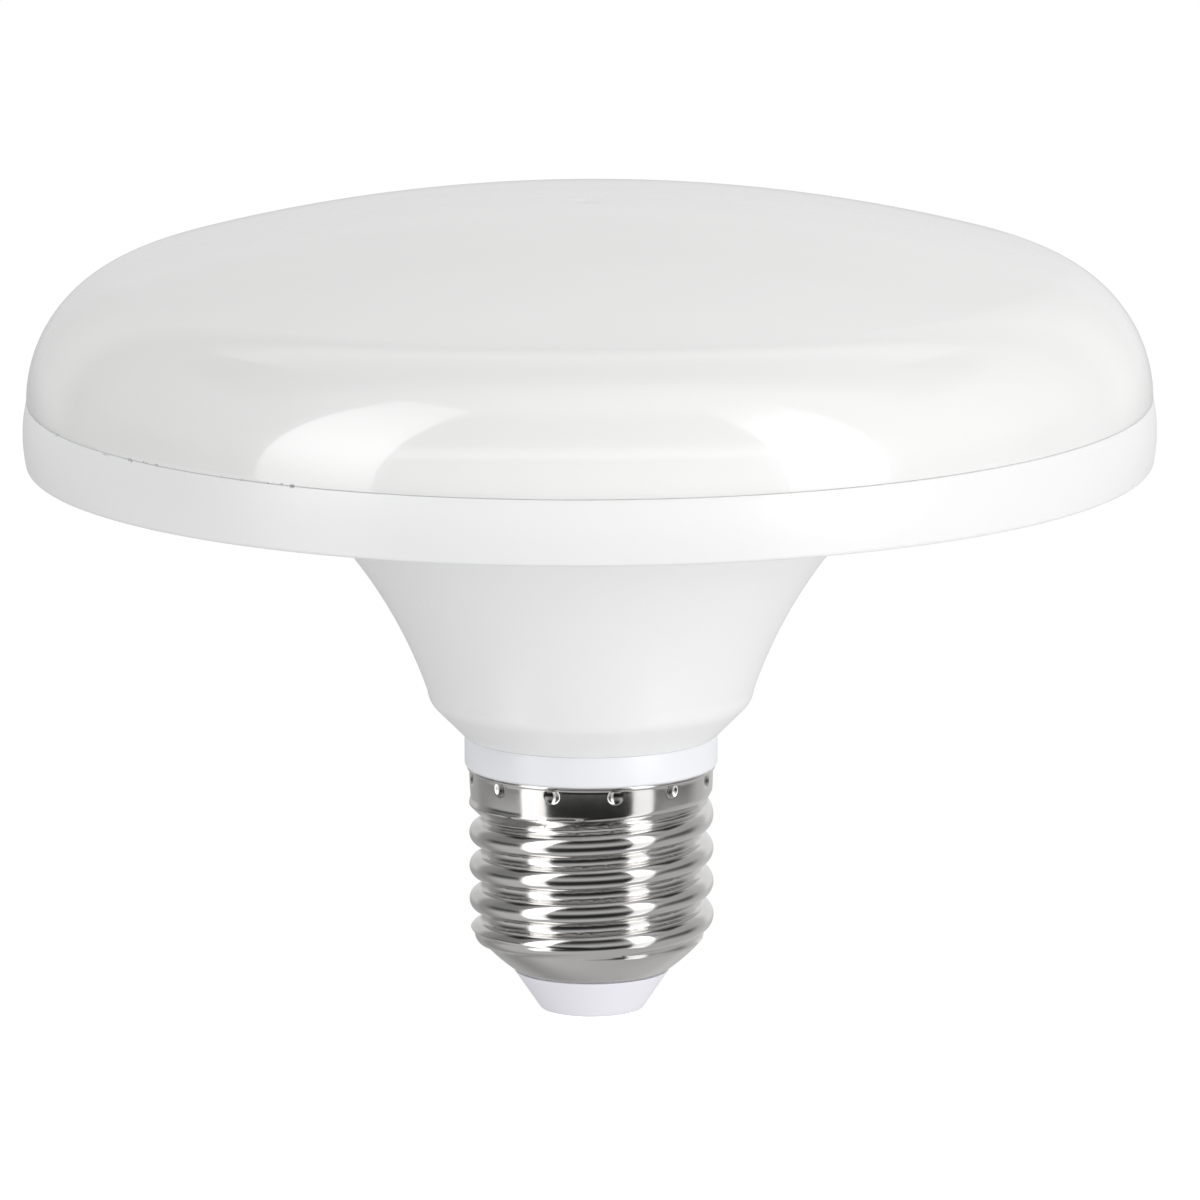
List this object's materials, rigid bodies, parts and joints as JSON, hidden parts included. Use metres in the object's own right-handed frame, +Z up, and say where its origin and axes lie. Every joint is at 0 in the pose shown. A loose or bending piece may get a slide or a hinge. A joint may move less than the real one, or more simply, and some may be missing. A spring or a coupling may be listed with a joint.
{
  "type": "led disc lamp",
  "caption": "Disc-shaped LED lamp: opal domed diffuser on a white rim and flared neck, with a 27 mm screw cap below.",
  "frame": {"origin": "middle of the centre contact's tip, at the bottom of the screw cap", "axes": "+Z up the lamp's axis from the cap to the dome's crown; -Y towards the viewer of the picture, +X to the viewer's right"},
  "size_m": [0.1209, 0.121, 0.0882],
  "materials": {
    "nickel_plate": "bright nickel plate",
    "nose_plastic": "smooth moulded",
    "contact_metal": "nickel-plated brass",
    "case_plastic": "smooth moulded",
    "housing_plastic": "satin-gloss moulded",
    "opal_plastic": "opal, glossy",
    "bare_aluminium": "as rolled",
    "white_mask": "white solder mask",
    "phosphor": "phosphor in a white frame",
    "screw_steel": "zinc plate",
    "connector_plastic": "moulded",
    "circuit_laminate": "green solder mask",
    "capacitor_sleeve": "shrink sleeve",
    "ferrite": "pressed ferrite",
    "copper_winding": "enamelled copper",
    "film_box": "moulded box",
    "varistor_coat": "epoxy coat",
    "resistor_coat": "lacquered",
    "chip_plastic": "moulded package",
    "red_insulation": "insulated lead",
    "black_insulation": "insulated lead",
    "tinned_wire": "tinned wire"
  },
  "bodies": {
    "root": {"screw_shell": "nickel_plate", "cap_insulator": "nose_plastic", "centre_contact": "contact_metal", "driver_case": "case_plastic", "housing": "housing_plastic", "diffuser": "opal_plastic", "heat_spreader": "bare_aluminium", "led_board": "white_mask", "led_chips": "phosphor", "board_screws": "screw_steel", "led_connector": "connector_plastic", "driver_board": "circuit_laminate", "input_capacitor": "capacitor_sleeve", "output_capacitor": "capacitor_sleeve", "transformer_core": "ferrite", "transformer_coil": "copper_winding", "film_capacitor": "film_box", "varistor": "varistor_coat", "fusible_resistor": "resistor_coat", "output_choke": "ferrite", "bridge_rectifier": "chip_plastic", "driver_chip": "chip_plastic", "rectifier_diode": "chip_plastic", "chip_resistors": "chip_plastic", "live_wire": "red_insulation", "neutral_wire": "tinned_wire", "led_wire_positive": "red_insulation", "led_wire_negative": "black_insulation"}
  },
  "joints": []
}
